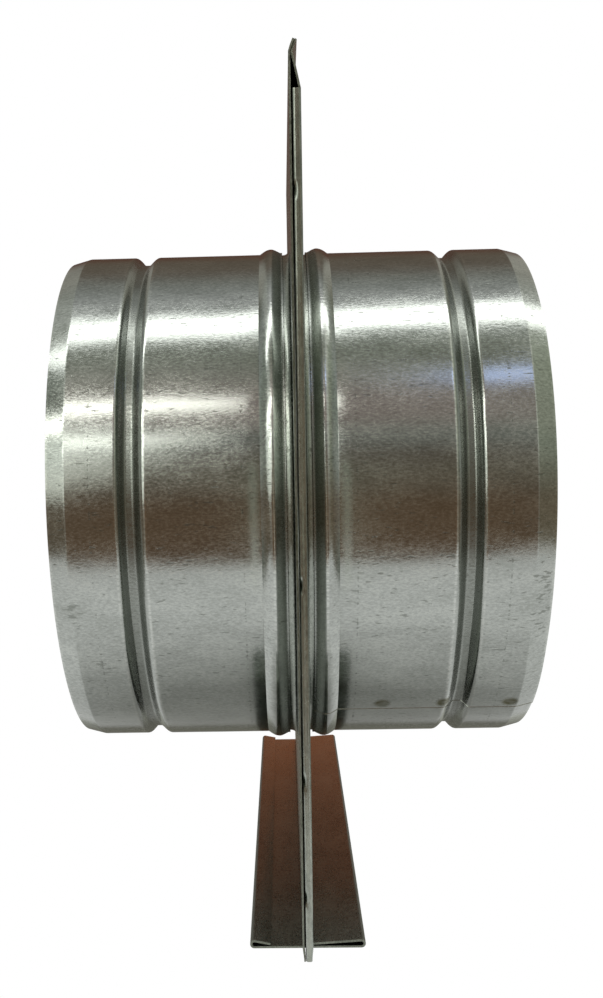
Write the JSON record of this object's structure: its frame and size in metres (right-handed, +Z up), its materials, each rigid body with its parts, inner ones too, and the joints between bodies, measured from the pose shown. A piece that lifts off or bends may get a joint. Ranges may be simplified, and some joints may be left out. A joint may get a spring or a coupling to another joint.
{
  "type": "round duct damper",
  "caption": "Galvanised slide-gate damper for a round air duct: two rolled spigots on a flat casing, with a sliding blade and folded T-handle.",
  "frame": {"origin": "on the duct's axis, midway between the two casing sheets", "axes": "+X along the duct, +Z up the casing away from the handle, -Y towards the camera of the picture"},
  "size_m": [0.1408, 0.203, 0.2371],
  "materials": {
    "galvanised_tube": "bright rolled zinc, fine lengthwise streaks",
    "galvanised_sheet": "dull zinc sheet",
    "galvanised_gate": "smooth zinc sheet"
  },
  "bodies": {
    "housing": {"spigot_left": "galvanised_tube", "spigot_right": "galvanised_tube", "casing_flat_sheet": "galvanised_sheet", "casing_channel_sheet": "galvanised_sheet"},
    "gate": {"slide_gate": "galvanised_gate"}
  },
  "joints": [
    {"name": "gate_slide", "type": "slide", "parent": "housing", "child": "gate", "axis": [0, 0, -1], "range_m": [0, 0.185]}
  ]
}
